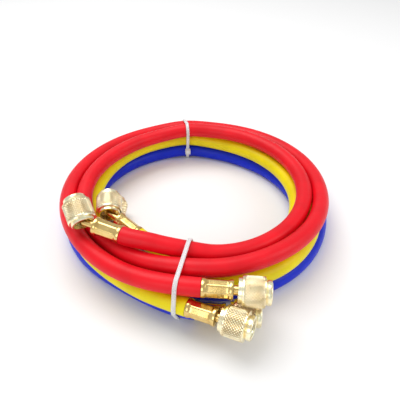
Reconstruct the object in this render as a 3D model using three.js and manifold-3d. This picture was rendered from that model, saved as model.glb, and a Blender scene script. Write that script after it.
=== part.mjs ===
// A set of three refrigerant charging hoses, coiled together and held by two cable ties.
// Each hose has a straight swivel nut on one end and a 45 degree swivel nut on the other.
// Millimetres, +Z up. The origin is on the floor, under the middle of the set's box. The coil's own axis passes
// a few millimetres from it.
import * as THREE from "three";
import { mergeVertices } from "three/addons/utils/BufferGeometryUtils.js";
import Module from "manifold-3d";

const wasm = await Module();
wasm.setup();

// Hose
const HOSE_DIAMETER = 11;
const HOSE_SIDES = 12;
const COIL_TURNS = 2; // whole turns before the last part turn
const STRAND_GAP = 0.3; // between neighbouring strands of the coil
const LANE_ZERO_RADIUS = 70; // centreline radius of the innermost lane
const SECTION_STEP = 15; // degrees of coil from one section to the next, so that a section falls on each tie
const LEAD = 5; // straight hose behind each ferrule
const SEAT_GAP = 0.25; // between two pieces that rest on each other
const RUN_GAP = 0.35; // between a piece that turns and the piece it turns on

// Crimped ferrule
const FERRULE_LENGTH = 17.5;
const FERRULE_RIM_DIAMETER = 11.2;
const FERRULE_RIM_LENGTH = 3;
const FERRULE_FLATS = 8;
const FERRULE_ACROSS_FLATS = 9.8;
const TAIL_DIAMETER = 8; // the hose inside the crimp
const TAIL_LENGTH = 12;
const RIM_CHAMFER = 0.4;

// Stem: the tube that joins the ferrule to the nut
const STRAIGHT_STEM_DIAMETER = 5.6;
const ELBOW_STEM_DIAMETER = 4.8;
const STEM_BORE = 3;
const STEM_HEAD_DIAMETER = 9;
const STEM_HEAD_LENGTH = 1.8;
const STRAIGHT_NECK = 2.5; // bare stem between the ferrule and the nut
const ELBOW_REACH = 8.5; // ferrule to the corner of the elbow
const ELBOW_ANGLE = 45;
const ELBOW_BEND_RADIUS = 6;
const ELBOW_STEPS = 4;

// Swivel nut for a 1/4 inch flare, 7/16-20 thread
const NUT_LENGTH = 18.2;
const NUT_DIAMETER = 17.2;
const NUT_COLLAR_DIAMETER = 14.2;
const NUT_COLLAR_LENGTH = 2;
const NUT_FRONT_DIAMETER = 13.8;
const NUT_FRONT_LENGTH = 3;
const NUT_CHAMFER = 0.8;
const NUT_GROOVE = 0.5;
const NUT_CUP_DIAMETER = 12.2; // recess in the back of the nut
const NUT_CUP_DEPTH = 5;
const NUT_WEB = 2.4; // wall that the stem head pulls on
const THREAD_BORE = 10.4;
const CUP_LAP = 2.2; // how far the back of an angled nut passes the elbow's corner

// Gasket and valve depressor inside the nut
const GASKET_OUTER = 9;
const GASKET_INNER = 3.6;
const GASKET_THICKNESS = 1.6;
const DEPRESSOR_DIAMETER = 2.4;
const DEPRESSOR_LENGTH = 6.6; // reaches a little out of the gasket
const DEPRESSOR_CHAMFER = 0.5;

// Cable ties
const TIE_WIDTH = 2.5;
const TIE_THICKNESS = 1.1;
const TIE_HEAD = [4.6, 4.4, 3.6]; // along the strap, across it, and out from it
const BACK_TIE = 98.5; // degrees round the coil
const FRONT_TIE = 263.5;
const FRONT_TIE_SKEW = -6.5; // degrees from straight across the hoses
const TIE_MIDDLE = 80; // radius about which a tie is skewed
const BACK_HEAD_LEVEL = 0.5; // height of a tie's head, as a level of the coil
const FRONT_HEAD_LEVEL = 0.75;
const TIE_LIFT_SPREAD = 12; // degrees over which the hoses rise to pass over a tie
const TIE_CORNERS = 20; // corners of the strap's outline round each strand

// Meshing
const ROUND_SIDES = 24;
const SMALL_SIDES = 16;
const PIN_SIDES = 12;
const JOIN_LAP = 1; // between two solids that are joined into one
const FINE_LAP = 0.1;
const WELD_DISTANCE = 1e-4;
const STRAIGHT_ENOUGH = 1e-6;

const PITCH = HOSE_DIAMETER + STRAND_GAP;
const TIE_LIFT = TIE_THICKNESS + 2 * SEAT_GAP; // the strap passes under the bottom strand

// Each hose starts at its angled end and winds counter-clockwise, seen from above, to its straight end.
// A station is [angle in degrees, lane, level], both counted in hose pitches from the innermost lane on the floor.
// An end is a station too. Its heading is its plan angle and its rise is above level, both in degrees, along the
// ferrule away from the hose. The elbow turns its nut towards the nut's heading and rise.
const HOSES = [
  {
    name: "red",
    color: 0xd8202c,
    angled: { at: [234.2, 0.8, 2.99], heading: 160, rise: 7, nutHeading: 112, nutRise: 29 },
    stations: [
      [243, 0.44, 2.89], [252, 0.17, 2.6], [263, -0.02, 2.26], [277, -0.03, 2.04], [300, 0.12, 2.0], [360, 0.35, 2.0],
      [420, 0.4, 2.05], [480, 0.4, 2.05], [540, 1.0, 1.97], [600, 1.0, 1.98], [660, 1.3, 2.35], [720, 1.37, 1.83],
      [780, 1.85, 1.45], [840, 1.95, 1.52], [900, 2.0, 1.88], [930, 2.05, 2.02], [960, 2.15, 2.05],
    ],
    straight: { at: [990.3, 2.345, 2.257], heading: -5.8, rise: 0 },
  },
  {
    name: "yellow",
    color: 0xf0d813,
    angled: { at: [228, -0.88, 1.33], heading: 144, rise: 14.5, nutHeading: 98, nutRise: 11.4 },
    stations: [
      [252, -0.7, 1.03], [272, -0.35, 1.02], [300, 0, 1.0], [360, 0.05, 1.0], [420, 0.3, 1.0],
      [480, 1.1, 1.02], [540, 0.75, 0.95], [570, 0.65, 0.98], [600, 0.6, 1.0], [660, 1.3, 1.05],
      [720, 1.05, 0.83], [780, 1.78, 0.35], [840, 2.15, 0.5], [900, 1.73, 0.87], [930, 1.75, 1.01],
      [960, 1.9, 1.05],
    ],
    straight: { at: [986, 2.73, 1.21], heading: -23, rise: 2 },
  },
  {
    name: "blue",
    color: 0x1430b4,
    angled: { at: [216.7, -1.19, 0.11], heading: 132, rise: 8, nutHeading: 87, nutRise: 7 },
    stations: [
      [235, -1.05, 0], [250, -0.85, 0], [270, -0.5, 0], [300, 0, 0], [360, 0.4, 0], [420, 0.4, 0], [480, 1.15, 0],
      [540, 1.12, 0], [600, 0.45, 0], [660, 1.2, 0], [720, 1.65, 0], [780, 2.8, 0], [840, 3.1, 0],
      [900, 2.22, 0], [930, 1.77, 0], [960, 1.47, 0.05],
    ],
    straight: { at: [988.2, 2.22, 0.3], heading: -6, rise: 0 },
  },
];

const brass = new THREE.MeshStandardMaterial({ color: 0xd9b866, roughness: 0.28, metalness: 1 });
const nylon = new THREE.MeshStandardMaterial({ color: 0xf2f4f5, roughness: 0.45, metalness: 0 });
const black = new THREE.MeshStandardMaterial({ color: 0x1a1a1c, roughness: 0.7, metalness: 0 });

const radians = THREE.MathUtils.degToRad;

// Solids and meshes

function solid(geometry) {
  const bare = geometry.clone();
  bare.deleteAttribute("normal");
  bare.deleteAttribute("uv");
  const merged = mergeVertices(bare, WELD_DISTANCE);
  return new wasm.Manifold(
    new wasm.Mesh({
      numProp: 3,
      vertProperties: merged.attributes.position.array,
      triVerts: new Uint32Array(merged.index.array),
    }),
  );
}

function geometryOf(body) {
  const mesh = body.getMesh();
  const geometry = new THREE.BufferGeometry();
  geometry.setAttribute("position", new THREE.BufferAttribute(new Float32Array(mesh.vertProperties), 3));
  geometry.setIndex(new THREE.BufferAttribute(new Uint32Array(mesh.triVerts), 1));
  return geometry;
}

function named(name, geometry, material) {
  const mesh = new THREE.Mesh(geometry, material);
  mesh.name = name;
  return mesh;
}

// A turned piece about +Z from [radius, height] points, anticlockwise in the radius-height plane.
function turned(profile, segments) {
  const points = profile.map(([r, z]) => new THREE.Vector2(r, z));
  return new THREE.LatheGeometry(points, segments).rotateX(Math.PI / 2);
}

// A turned piece whose profile closes on itself, such as a ring.
function turnedRing(profile, segments) {
  return turned([...profile, profile[0]], segments);
}

// A closed tube with flat sides along a path, one section at each of the path's points.
function tube(path, sections, radius, sides) {
  const outline = new THREE.Shape();
  for (let i = 0; i < sides; i++) {
    const a = ((i + 0.5) * 2 * Math.PI) / sides;
    outline[i ? "lineTo" : "moveTo"](radius * Math.cos(a), radius * Math.sin(a));
  }
  outline.closePath();
  return new THREE.ExtrudeGeometry(outline, { steps: sections, extrudePath: path, bevelEnabled: false });
}

// Sections of this curve fall on its own points.
class SectionCurve extends THREE.CatmullRomCurve3 {
  getUtoTmapping(u) {
    return u;
  }
}

// Coil

function direction(heading, rise) {
  const level = Math.cos(radians(rise));
  return new THREE.Vector3(
    level * Math.cos(radians(heading)), level * Math.sin(radians(heading)), Math.sin(radians(rise)),
  );
}

// The point of a station, before any lift over a tie.
function stationPoint([angle, lane, level]) {
  const r = LANE_ZERO_RADIUS + PITCH * lane;
  return new THREE.Vector3(r * Math.cos(radians(angle)), r * Math.sin(radians(angle)), levelHeight(level));
}

function levelHeight(level) {
  return HOSE_DIAMETER / 2 + PITCH * level;
}

// Where a hose stops at one of its ends, and which way it points there.
function hoseEnd(end) {
  return { at: stationPoint(end.at), out: direction(end.heading, end.rise) };
}

// The point a lead behind a hose's end, and the same as a station.
function leadPoint(end) {
  const { at, out } = hoseEnd(end);
  return at.addScaledVector(out, -LEAD);
}

function leadStation(end) {
  const { x, y, z } = leadPoint(end);
  const turn = THREE.MathUtils.radToDeg(Math.atan2(y, x)) - end.at[0];
  const angle = end.at[0] + THREE.MathUtils.euclideanModulo(turn + 180, 360) - 180;
  return [angle, (Math.hypot(x, y) - LANE_ZERO_RADIUS) / PITCH, (z - HOSE_DIAMETER / 2) / PITCH];
}

// Smooth value of the stations' lane (1) or level (2) at an angle.
function stationValue(stations, key, angle) {
  let i = 0;
  while (i < stations.length - 2 && angle > stations[i + 1][0]) i++;
  const slope = (a, b) => (stations[b][key] - stations[a][key]) / (stations[b][0] - stations[a][0]);
  const last = stations.length - 1;
  const span = stations[i + 1][0] - stations[i][0];
  const start = slope(Math.max(i - 1, 0), i + 1) * span;
  const end = slope(i, Math.min(i + 2, last)) * span;
  const t = (angle - stations[i][0]) / span;
  const from = stations[i][key];
  const to = stations[i + 1][key];
  return (
    (2 * t ** 3 - 3 * t ** 2 + 1) * from + (t ** 3 - 2 * t ** 2 + t) * start +
    (3 * t ** 2 - 2 * t ** 3) * to + (t ** 3 - t ** 2) * end
  );
}

function tieLift(angle) {
  return [BACK_TIE, FRONT_TIE].reduce((lift, tie) => {
    const off = THREE.MathUtils.euclideanModulo(angle - tie + 180, 360) - 180;
    return lift + TIE_LIFT * Math.exp(-((off / TIE_LIFT_SPREAD) ** 2));
  }, 0);
}

function coilPoint(stations, angle) {
  const point = stationPoint([angle, stationValue(stations, 1, angle), stationValue(stations, 2, angle)]);
  point.z += tieLift(angle);
  return point;
}

// Centres of a hose's sections. All the hoses have theirs at the same angles, so that their flats stay parallel.
function hoseSections(hose) {
  const first = leadStation(hose.angled);
  const last = leadStation(hose.straight);
  const stations = [first, ...hose.stations, last];
  const room = SECTION_STEP / 3;
  const points = [hoseEnd(hose.angled).at, leadPoint(hose.angled)];
  for (let angle = BACK_TIE; angle < last[0] - room; angle += SECTION_STEP) {
    if (angle > first[0] + room) points.push(coilPoint(stations, angle));
  }
  points.push(leadPoint(hose.straight), hoseEnd(hose.straight).at);
  return points;
}

function hoseTube(hose) {
  const path = new SectionCurve(hoseSections(hose));
  let body = solid(tube(path, path.points.length - 1, HOSE_DIAMETER / 2, HOSE_SIDES));
  for (const { at, out } of [hoseEnd(hose.angled), hoseEnd(hose.straight)]) {
    const length = TAIL_LENGTH + JOIN_LAP;
    const tail = new THREE.CylinderGeometry(TAIL_DIAMETER / 2, TAIL_DIAMETER / 2, length, HOSE_SIDES);
    tail.rotateX(Math.PI / 2).translate(0, 0, length / 2 - JOIN_LAP);
    tail.applyQuaternion(turnTo(out)).translate(at.x, at.y, at.z);
    body = body.add(solid(tail));
  }
  return geometryOf(body);
}

// Fittings, each built along +Z with the hose's end face at zero

function turnTo(direction) {
  return new THREE.Quaternion().setFromUnitVectors(new THREE.Vector3(0, 0, 1), direction);
}

const FERRULE_START = SEAT_GAP;
const FERRULE_END = FERRULE_START + FERRULE_LENGTH;
const STEM_START = TAIL_LENGTH + SEAT_GAP;

function ferrule(stemDiameter) {
  const rim = FERRULE_RIM_DIAMETER / 2;
  const corner = FERRULE_ACROSS_FLATS / 2 / Math.cos(Math.PI / FERRULE_FLATS);
  const slope = rim - FERRULE_ACROSS_FLATS / 2;
  const start = FERRULE_START;
  const end = FERRULE_END;
  const inner = start + FERRULE_RIM_LENGTH;
  const outer = end - FERRULE_RIM_LENGTH;
  const body = new THREE.CylinderGeometry(corner, corner, outer - inner + 2 * slope, FERRULE_FLATS)
    .rotateX(Math.PI / 2)
    .translate(0, 0, (inner + outer) / 2);
  const backRim = turned([[0, start], [rim - RIM_CHAMFER, start], [rim, start + RIM_CHAMFER], [rim, inner - slope],
    [rim - slope, inner], [0, inner]], ROUND_SIDES);
  const frontRim = turned([[0, outer], [rim - slope, outer], [rim, outer + slope], [rim, end - RIM_CHAMFER],
    [rim - RIM_CHAMFER, end], [0, end]], ROUND_SIDES);
  const tailBore = TAIL_DIAMETER / 2 + SEAT_GAP;
  const stemBore = stemDiameter / 2 + SEAT_GAP;
  const bore = turned([[0, start - JOIN_LAP], [tailBore, start - JOIN_LAP], [tailBore, STEM_START],
    [stemBore, STEM_START], [stemBore, end + JOIN_LAP], [0, end + JOIN_LAP]], SMALL_SIDES);
  return geometryOf(solid(body).add(solid(backRim)).add(solid(frontRim)).subtract(solid(bore)));
}

// Heights inside the nut, from the back of its collar.
const WEB_BACK = NUT_CUP_DEPTH;
const WEB_FRONT = WEB_BACK + NUT_WEB;
const HEAD_BACK = WEB_FRONT + RUN_GAP;
const HEAD_FRONT = HEAD_BACK + STEM_HEAD_LENGTH;
const GASKET_BACK = HEAD_FRONT + SEAT_GAP;
const GASKET_FRONT = GASKET_BACK + GASKET_THICKNESS;

function nut(stemDiameter) {
  const knurl = NUT_DIAMETER / 2;
  const collar = NUT_COLLAR_DIAMETER / 2;
  const front = NUT_FRONT_DIAMETER / 2;
  const cup = NUT_CUP_DIAMETER / 2;
  const bore = stemDiameter / 2 + RUN_GAP;
  const thread = THREAD_BORE / 2;
  const knurlEnd = NUT_LENGTH - NUT_FRONT_LENGTH;
  const groove = knurlEnd + NUT_GROOVE;
  return turnedRing([
    [cup, 0], [collar, 0], [collar, NUT_COLLAR_LENGTH], [knurl, NUT_COLLAR_LENGTH + NUT_CHAMFER],
    [knurl, knurlEnd - NUT_CHAMFER], [front - NUT_GROOVE, knurlEnd], [front, groove],
    [front, NUT_LENGTH - NUT_GROOVE], [front - NUT_GROOVE, NUT_LENGTH], [thread + NUT_GROOVE, NUT_LENGTH],
    [thread, NUT_LENGTH - NUT_GROOVE], [thread, WEB_FRONT], [bore, WEB_FRONT], [bore, WEB_BACK],
    [cup - NUT_GROOVE, WEB_BACK],
  ], ROUND_SIDES);
}

// The head that holds a nut on its stem, with a blind bore, from the back of the nut's collar.
function stemHead(stemDiameter, back) {
  const neck = stemDiameter / 2;
  const head = STEM_HEAD_DIAMETER / 2;
  const bore = STEM_BORE / 2;
  return turned([[0, back], [neck, back], [neck, HEAD_BACK], [head, HEAD_BACK], [head, HEAD_FRONT],
    [bore, HEAD_FRONT], [bore, WEB_BACK], [0, WEB_BACK]], SMALL_SIDES);
}

function straightStem() {
  const nutBack = FERRULE_END + STRAIGHT_NECK;
  return stemHead(STRAIGHT_STEM_DIAMETER, STEM_START - nutBack).translate(0, 0, nutBack);
}

// The elbow runs up from the ferrule, turns in the X-Z plane towards +X, and ends in its head.
function elbowStem() {
  const corner = FERRULE_END + ELBOW_REACH;
  const tangent = ELBOW_BEND_RADIUS * Math.tan(radians(ELBOW_ANGLE / 2));
  const lean = radians(ELBOW_ANGLE);
  const points = [new THREE.Vector3(0, 0, STEM_START)];
  for (let i = 0; i <= ELBOW_STEPS; i++) {
    const a = (lean * i) / ELBOW_STEPS;
    points.push(new THREE.Vector3(
      ELBOW_BEND_RADIUS * (1 - Math.cos(a)), 0, corner - tangent + ELBOW_BEND_RADIUS * Math.sin(a),
    ));
  }
  const along = new THREE.Vector3(Math.sin(lean), 0, Math.cos(lean));
  const back = CUP_LAP + tangent;
  const end = WEB_BACK - CUP_LAP - FINE_LAP;
  points.push(new THREE.Vector3(0, 0, corner).addScaledVector(along, end));
  const arm = new THREE.CurvePath();
  for (let i = 1; i < points.length; i++) arm.add(new THREE.LineCurve3(points[i - 1], points[i]));
  arm.getPoint = (t) => polylinePoint(points, t);
  arm.getUtoTmapping = (u) => u;
  const head = stemHead(ELBOW_STEM_DIAMETER, back + FINE_LAP);
  head.applyMatrix4(elbowNutFrame());
  return geometryOf(solid(tube(arm, points.length - 1, ELBOW_STEM_DIAMETER / 2, SMALL_SIDES)).add(solid(head)));
}

function polylinePoint(points, t) {
  const place = THREE.MathUtils.clamp(t, 0, 1) * (points.length - 1);
  const i = Math.min(Math.floor(place), points.length - 2);
  return new THREE.Vector3().lerpVectors(points[i], points[i + 1], place - i);
}

// Frame of an angled nut in its fitting: the origin at the back of the collar, +Z out of the mouth.
function elbowNutFrame() {
  const lean = radians(ELBOW_ANGLE);
  const along = new THREE.Vector3(Math.sin(lean), 0, Math.cos(lean));
  const origin = new THREE.Vector3(0, 0, FERRULE_END + ELBOW_REACH).addScaledVector(along, -CUP_LAP);
  return new THREE.Matrix4().makeRotationY(lean).setPosition(origin);
}

function gasket() {
  const outer = GASKET_OUTER / 2;
  const inner = GASKET_INNER / 2;
  const points = [[inner, GASKET_BACK], [outer, GASKET_BACK], [outer, GASKET_FRONT], [inner, GASKET_FRONT]];
  return turnedRing(points, SMALL_SIDES);
}

function depressor() {
  const radius = DEPRESSOR_DIAMETER / 2;
  const top = WEB_BACK + SEAT_GAP + DEPRESSOR_LENGTH;
  return turned([[0, top - DEPRESSOR_LENGTH], [radius, top - DEPRESSOR_LENGTH], [radius, top - DEPRESSOR_CHAMFER],
    [radius - DEPRESSOR_CHAMFER, top], [0, top]], PIN_SIDES);
}

function straightEnd(hose) {
  const { at, out } = hoseEnd(hose.straight);
  const group = new THREE.Group();
  group.position.copy(at);
  group.quaternion.copy(turnTo(out));
  const nutGroup = new THREE.Group();
  nutGroup.position.z = FERRULE_END + STRAIGHT_NECK;
  nutGroup.add(named(hose.name + "_straight_nut", nut(STRAIGHT_STEM_DIAMETER), brass));
  nutGroup.add(named(hose.name + "_straight_gasket", gasket(), black));
  group.add(named(hose.name + "_straight_ferrule", ferrule(STRAIGHT_STEM_DIAMETER), brass));
  group.add(named(hose.name + "_straight_stem", straightStem(), brass));
  group.add(nutGroup);
  return group;
}

// The elbow turns from the ferrule's direction towards the nut's heading.
function angledEnd(hose) {
  const { at, out } = hoseEnd(hose.angled);
  const side = direction(hose.angled.nutHeading, hose.angled.nutRise);
  side.addScaledVector(out, -side.dot(out)).normalize();
  const across = new THREE.Vector3().crossVectors(out, side);
  const group = new THREE.Group();
  group.applyMatrix4(new THREE.Matrix4().makeBasis(side, across, out).setPosition(at));
  const nutGroup = new THREE.Group();
  nutGroup.applyMatrix4(elbowNutFrame());
  nutGroup.add(named(hose.name + "_angled_nut", nut(ELBOW_STEM_DIAMETER), brass));
  nutGroup.add(named(hose.name + "_angled_gasket", gasket(), black));
  nutGroup.add(named(hose.name + "_depressor", depressor(), brass));
  group.add(named(hose.name + "_angled_ferrule", ferrule(ELBOW_STEM_DIAMETER), brass));
  group.add(named(hose.name + "_elbow", elbowStem(), brass));
  group.add(nutGroup);
  return group;
}

// Cable ties

// The vertical plane of a tie: its middle on the ground, its direction outwards, and the direction it faces.
function tiePlane(angle, skew) {
  const middle = direction(angle, 0).multiplyScalar(TIE_MIDDLE);
  return { middle, outward: direction(angle + skew, 0), facing: direction(angle + skew + 90, 0) };
}

// Every strand that crosses a plane this far in front of a tie's: [distance outwards, height, half its width].
function strandsAt({ middle, outward, facing }, offset) {
  const centres = [];
  for (const hose of HOSES) {
    const points = hoseSections(hose).map((point) => point.sub(middle));
    for (let i = 1; i < points.length; i++) {
      const before = points[i - 1].dot(facing) - offset;
      const after = points[i].dot(facing) - offset;
      if (before > 0 || after <= 0 || points[i].dot(outward) < -TIE_MIDDLE) continue;
      const at = new THREE.Vector3().lerpVectors(points[i - 1], points[i], before / (before - after));
      const square = (after - before) / points[i].distanceTo(points[i - 1]);
      centres.push([at.dot(outward), at.z, HOSE_DIAMETER / 2 / square]);
    }
  }
  return centres;
}

// Convex outline, anticlockwise, that clears every strand by the gap.
function outlineAround(strands, gap) {
  const cloud = [];
  for (const [r, z, half] of strands) {
    for (let i = 0; i < TIE_CORNERS; i++) {
      const a = ((i + 0.5) * 2 * Math.PI) / TIE_CORNERS;
      const reach = (half + gap) / Math.cos(Math.PI / TIE_CORNERS);
      cloud.push([r + reach * Math.cos(a), z + reach * Math.sin(a)]);
    }
  }
  cloud.sort((p, q) => p[0] - q[0] || p[1] - q[1]);
  const half = (points) => {
    const chain = [];
    for (const p of points) {
      while (chain.length > 1 && turnsRight(chain[chain.length - 2], chain[chain.length - 1], p)) chain.pop();
      chain.push(p);
    }
    return chain.slice(0, -1);
  };
  return [...half(cloud), ...half([...cloud].reverse())].map(([x, y]) => new THREE.Vector2(x, y));
}

function turnsRight(a, b, c) {
  return (b[0] - a[0]) * (c[1] - a[1]) - (b[1] - a[1]) * (c[0] - a[0]) <= STRAIGHT_ENOUGH;
}

// The strap lies in a vertical plane. Its head is on the inside of the coil at the level given.
function cableTie(angle, skew, headLevel) {
  const plane = tiePlane(angle, skew);
  const headHeight = levelHeight(headLevel);
  const strands = [-TIE_WIDTH / 2, 0, TIE_WIDTH / 2].flatMap((offset) => strandsAt(plane, offset));
  const outer = outlineAround(strands, SEAT_GAP + TIE_THICKNESS);
  const strap = new THREE.Shape(outer);
  strap.holes.push(new THREE.Path(outlineAround(strands, SEAT_GAP)));
  const band = new THREE.ExtrudeGeometry(strap, { depth: TIE_WIDTH, bevelEnabled: false });
  band.translate(0, 0, -TIE_WIDTH / 2);
  // The outline runs anticlockwise, so its inner side runs downwards.
  const top = outer.findIndex((p, i) => {
    const next = outer[(i + 1) % outer.length];
    return p.y > headHeight && next.y <= headHeight;
  });
  const from = outer[top];
  const to = outer[(top + 1) % outer.length];
  const seat = from.clone().lerp(to, (from.y - headHeight) / (from.y - to.y));
  const [along, across, out] = TIE_HEAD;
  const head = new THREE.BoxGeometry(out, along, across).translate(TIE_THICKNESS - out / 2, 0, 0);
  head.rotateZ(Math.atan2(from.y - to.y, from.x - to.x) - Math.PI / 2).translate(seat.x, seat.y, 0);
  const geometry = geometryOf(solid(band).add(solid(head)));
  geometry.rotateX(Math.PI / 2).rotateZ(radians(angle + skew));
  return geometry.translate(plane.middle.x, plane.middle.y, 0);
}

// The set

const set = new THREE.Group();
for (const hose of HOSES) {
  const rubber = new THREE.MeshStandardMaterial({ color: hose.color, roughness: 0.45, metalness: 0 });
  set.add(named(hose.name + "_hose", hoseTube(hose), rubber));
  set.add(angledEnd(hose));
  set.add(straightEnd(hose));
}
set.add(named("back_tie", cableTie(BACK_TIE, 0, BACK_HEAD_LEVEL), nylon));
set.add(named("front_tie", cableTie(FRONT_TIE, FRONT_TIE_SKEW, FRONT_HEAD_LEVEL), nylon));

const box = new THREE.Box3().setFromObject(set, true);
const middle = box.getCenter(new THREE.Vector3());
set.position.set(-middle.x, -middle.y, -box.min.z);

export default set;
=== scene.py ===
"""A coiled set of three refrigerant charging hoses, dressed over its CAD frame."""

import math

import bpy
from mathutils import Matrix, Vector


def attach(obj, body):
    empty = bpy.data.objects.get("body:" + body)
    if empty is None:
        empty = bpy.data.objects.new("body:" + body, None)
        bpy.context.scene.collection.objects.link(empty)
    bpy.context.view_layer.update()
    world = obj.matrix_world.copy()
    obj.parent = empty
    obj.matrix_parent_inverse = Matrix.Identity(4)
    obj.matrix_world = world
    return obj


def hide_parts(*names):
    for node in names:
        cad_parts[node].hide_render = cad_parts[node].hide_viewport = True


bl_info = {
    "name": "Charging Hose Set",
    "version": (1, 0, 0),
    "blender": (4, 5, 0),
    "location": "3D View > Sidebar > Hose Set",
    "description": "Builds a coiled set of refrigerant charging hoses with brass swivel nuts",
    "category": "Add Mesh",
}

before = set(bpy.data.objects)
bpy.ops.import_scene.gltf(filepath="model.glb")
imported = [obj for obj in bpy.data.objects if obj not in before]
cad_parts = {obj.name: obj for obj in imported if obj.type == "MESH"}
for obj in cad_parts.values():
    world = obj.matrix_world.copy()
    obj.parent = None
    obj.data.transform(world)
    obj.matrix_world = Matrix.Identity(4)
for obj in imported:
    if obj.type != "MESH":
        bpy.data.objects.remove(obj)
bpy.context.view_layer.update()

MM = 0.001
# Where the coil's own axis meets the floor, in millimetres
COIL_AXIS = Vector((3.229, 5.470, 0.025))

# Meshes
SHARP_EDGE = math.radians(32)
ARC_STEPS = 3  # spans of a rounded corner
ARC_SHARE = 0.45  # most of a side that a rounded corner may take

# The route of each hose. A station is an angle in degrees, then a lane and a level, both in
# pitches from the innermost lane on the floor. Other sizes are in millimetres.
LANE_ZERO_RADIUS = 70
PITCH = 11.3
HOSE_DIAMETER = 11
HOSE_LIP = 0.15  # bevel at a hose's ends
HOSE_SIDES = 40
SECTION_STEP = 15  # degrees between the sections that the coil is laid out by
SECTION_SAMPLES = 6  # points of the fine route to each section
WAY_STEP = 0.5  # degrees to each side of a point, to find which way the hose runs there
LEAD = 5  # straight hose at each end
HOSES = [
    {
        "name": "red",
        "angled": {
            "at": (234.2, 0.8, 2.99), "heading": 160, "rise": 7,
            "nut_heading": 112, "nut_rise": 29,
        },
        "stations": [
            (243, 0.44, 2.89), (252, 0.17, 2.6), (263, -0.02, 2.26), (277, -0.03, 2.04),
            (300, 0.12, 2.0), (360, 0.35, 2.0), (420, 0.4, 2.05), (480, 0.4, 2.05),
            (540, 1.0, 1.97), (600, 1.0, 1.98), (660, 1.3, 2.35), (720, 1.37, 1.83),
            (780, 1.85, 1.45), (840, 1.95, 1.52), (900, 2.0, 1.88), (930, 2.05, 2.02),
            (960, 2.15, 2.05),
        ],
        "straight": {"at": (990.3, 2.345, 2.257), "heading": -5.8, "rise": 0},
    },
    {
        "name": "yellow",
        "angled": {
            "at": (228, -0.88, 1.33), "heading": 144, "rise": 14.5,
            "nut_heading": 98, "nut_rise": 11.4,
        },
        "stations": [
            (252, -0.7, 1.03), (272, -0.35, 1.02), (300, 0, 1.0), (360, 0.05, 1.0),
            (420, 0.3, 1.0), (480, 1.1, 1.02), (540, 0.75, 0.95), (570, 0.65, 0.98),
            (600, 0.6, 1.0), (660, 1.3, 1.05), (720, 1.05, 0.83), (780, 1.78, 0.35),
            (840, 2.15, 0.5), (900, 1.73, 0.87), (930, 1.75, 1.01), (960, 1.9, 1.05),
        ],
        "straight": {"at": (986, 2.73, 1.21), "heading": -23, "rise": 2},
    },
    {
        "name": "blue",
        "angled": {
            "at": (216.7, -1.19, 0.11), "heading": 132, "rise": 8,
            "nut_heading": 87, "nut_rise": 7,
        },
        "stations": [
            (235, -1.05, 0), (250, -0.85, 0), (270, -0.5, 0), (300, 0, 0), (360, 0.4, 0),
            (420, 0.4, 0), (480, 1.15, 0), (540, 1.12, 0), (600, 0.45, 0), (660, 1.2, 0),
            (720, 1.65, 0), (780, 2.8, 0), (840, 3.1, 0), (900, 2.22, 0), (930, 1.77, 0),
            (960, 1.47, 0.05),
        ],
        "straight": {"at": (988.2, 2.22, 0.3), "heading": -6, "rise": 0},
    },
]

# Ties, in degrees and millimetres
BACK_TIE = 98.5
BACK_HEAD_HEIGHT = 11.15
FRONT_TIE = 263.5
FRONT_TIE_SKEW = -6.5
FRONT_HEAD_HEIGHT = 13.98
TIE_MIDDLE = 80
TIE_LIFT = 1.6  # how far the hoses rise over a tie's lower run
TIE_LIFT_SPREAD = 12
TIE_GAP = 0.3
TIE_STEP = 0.35
TIE_RIDGE_DEPTH = 0.12
TIE_RIDGE_RINGS = 4  # rings of points to each ridge, half of them in its groove
TIE_ROUND_STEP = 0.1  # radians between the points laid around a strand
# The strap's section: share of its thickness outwards, share of its width across
TIE_SECTION = (
    (0, -0.5), (0, -0.2), (0, 0.2), (0, 0.5), (0.55, 0.5), (0.8, 0.42), (0.86, 0.3), (0.8, 0.2),
    (0.8, -0.2), (0.86, -0.3), (0.8, -0.42), (0.55, -0.5),
)
# The head: distance out from the strap, share of its full size
TIE_HEAD_LAYERS = ((0.0, 0.9), (0.25, 1.0), (2.9, 1.0), (3.35, 0.94), (3.5, 0.8))
TIE_HEAD_HALF_ALONG = 2.3
TIE_HEAD_HALF_ACROSS = 2.2
TIE_HEAD_CORNER = 0.7
TIE_HEAD_CORNER_STEPS = 4

# Fittings, in millimetres, along each fitting from the end of the rubber
KINDS = ("straight", "angled")
STEM_RADIUS = {"straight": 2.8, "angled": 2.4}
SEAT_GAP = 0.25
FERRULE_START = 0.25
FERRULE_END = 17.75
STRAIGHT_NECK = 2.5
ELBOW_REACH = 8.5  # from the ferrule to the elbow's corner
ELBOW_ANGLE = 45
ELBOW_BEND_RADIUS = 6
ELBOW_STEPS = 10
CUP_LAP = 2.2  # how far a nut's back lies behind the elbow's corner
TAIL_LENGTH = 12
STEM_SIDES = 40

# Ferrules
FERRULE_SIDES = 96
FERRULE_BORE_RADIUS = 4.3
FERRULE_BORE_DEPTH = 12.6
FERRULE_RIM_RADIUS = 5.6
FERRULE_STEM_GAP = 0.3
CRIMP_REACH = 4.9  # from the axis to a flat
CRIMP_CORNER = 1.055  # the rounded corners' reach, as a share of the flats'
CRIMP_MARGIN = 3.3  # from a ferrule's end to the full crimp
CRIMP_STEPS = 12
# The outside near a ferrule's ends: radius, distance from the end, share of the crimped shape
FERRULE_LIP = (
    (5.2, 0, 0), (5.5, 0.15, 0), (FERRULE_RIM_RADIUS, 0.5, 0), (FERRULE_RIM_RADIUS, 1.2, 0),
    (FERRULE_RIM_RADIUS, 1.8, 0.05), (FERRULE_RIM_RADIUS - 0.1, 2.3, 0.3),
    (FERRULE_RIM_RADIUS - 0.3, 2.8, 0.7),
)

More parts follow.
